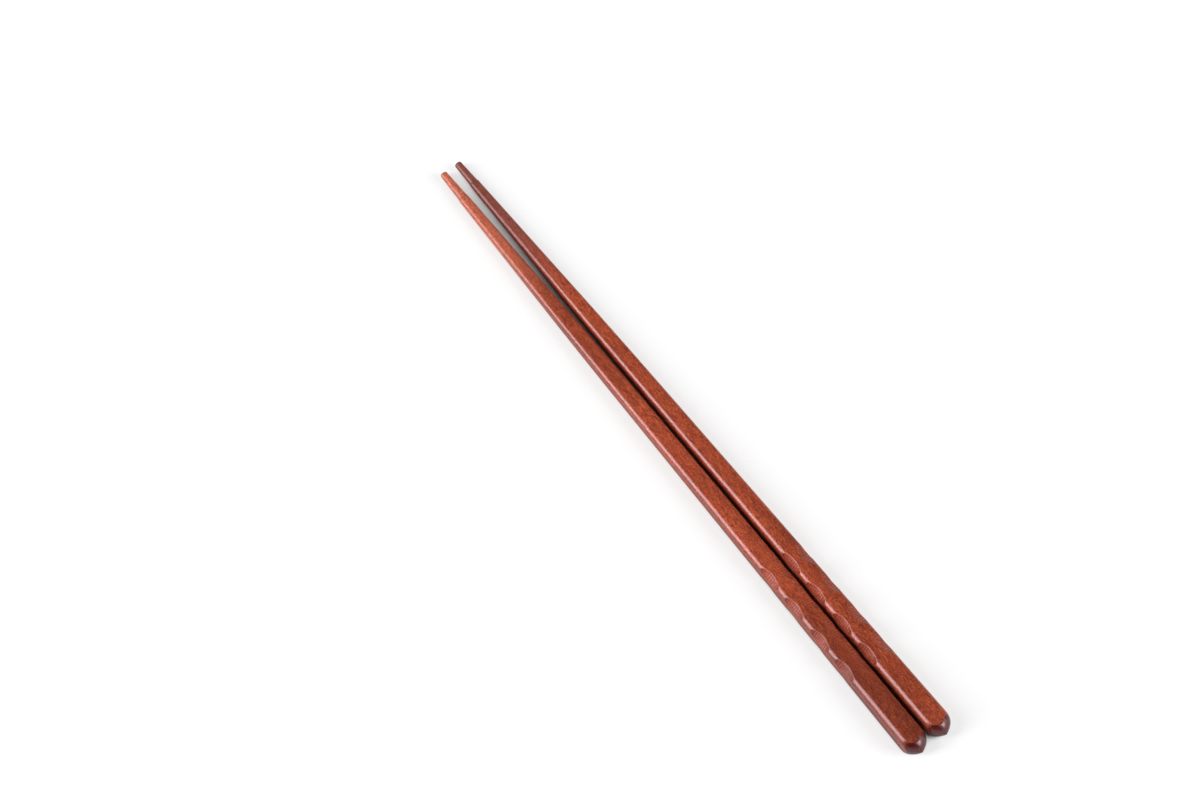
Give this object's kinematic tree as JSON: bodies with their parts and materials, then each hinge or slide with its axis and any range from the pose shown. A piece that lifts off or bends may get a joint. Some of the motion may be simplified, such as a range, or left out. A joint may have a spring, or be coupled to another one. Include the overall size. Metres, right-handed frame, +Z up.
{
  "type": "pair of chopsticks",
  "caption": "Tapered wooden chopsticks lying side by side, with rounded square handles, scooped finger notches along the edges, domed handle ends and slim round tips.",
  "frame": {"origin": "centre of the pair's outline, on the table that it lies on", "axes": "+X from the handle ends to the tips, +Y towards the left stick, +Z up from the table"},
  "size_m": [0.225, 0.0162, 0.0076],
  "materials": {
    "lacquered_wood": "red-brown fine-grained hardwood under a satin lacquer"
  },
  "bodies": {
    "root": {"left_chopstick": "lacquered_wood", "right_chopstick": "lacquered_wood"}
  },
  "joints": []
}
